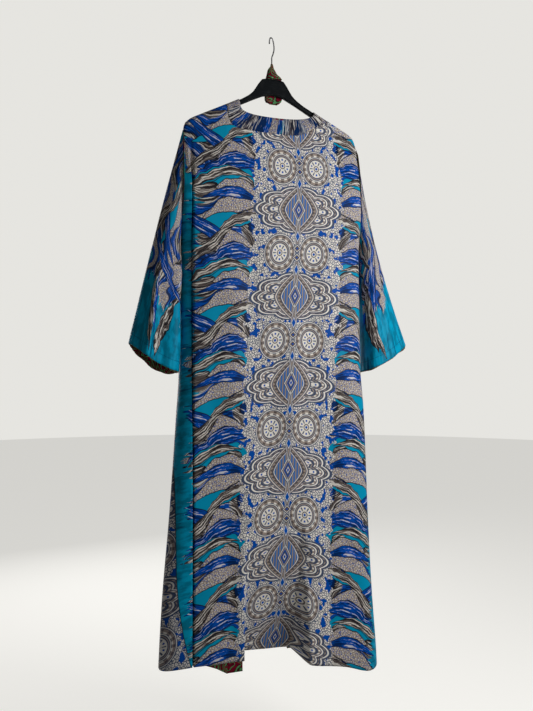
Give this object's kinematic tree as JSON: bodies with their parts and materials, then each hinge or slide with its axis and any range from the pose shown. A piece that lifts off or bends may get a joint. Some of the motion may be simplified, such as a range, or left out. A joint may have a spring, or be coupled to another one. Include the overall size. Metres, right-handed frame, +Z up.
{
  "type": "kimono robe on hanger",
  "caption": "Long kimono robe with wide sleeves, hanging on a plastic coat hanger with a wire hook, its folded belt looped over the hook's stem",
  "frame": {"origin": "inside of the hook's top, where the hook rests on a rail", "axes": "+Z up, +X the wearer's left, -Y the wearer's front; the garment's back faces +Y"},
  "size_m": [0.711, 0.1641, 1.5543],
  "materials": {
    "print_cloth": "printed silk, soft sheen",
    "band_cloth": "printed silk, soft sheen",
    "lining_cloth": "printed silk, crimson with green leaves",
    "hanger_plastic": "black moulded plastic",
    "hook_steel": "bright steel wire"
  },
  "bodies": {
    "root": {"back_panel": "print_cloth", "front_panel_left": "print_cloth", "front_panel_right": "print_cloth", "sleeve_left": "print_cloth", "sleeve_right": "print_cloth", "neckband": "band_cloth", "lining_front_left": "lining_cloth", "lining_cuff_left": "lining_cloth", "lining_cuff_right": "lining_cloth", "belt_bundle": "lining_cloth", "belt_loop": "lining_cloth", "hanger_body": "hanger_plastic", "hanger_hook": "hook_steel"}
  },
  "joints": []
}
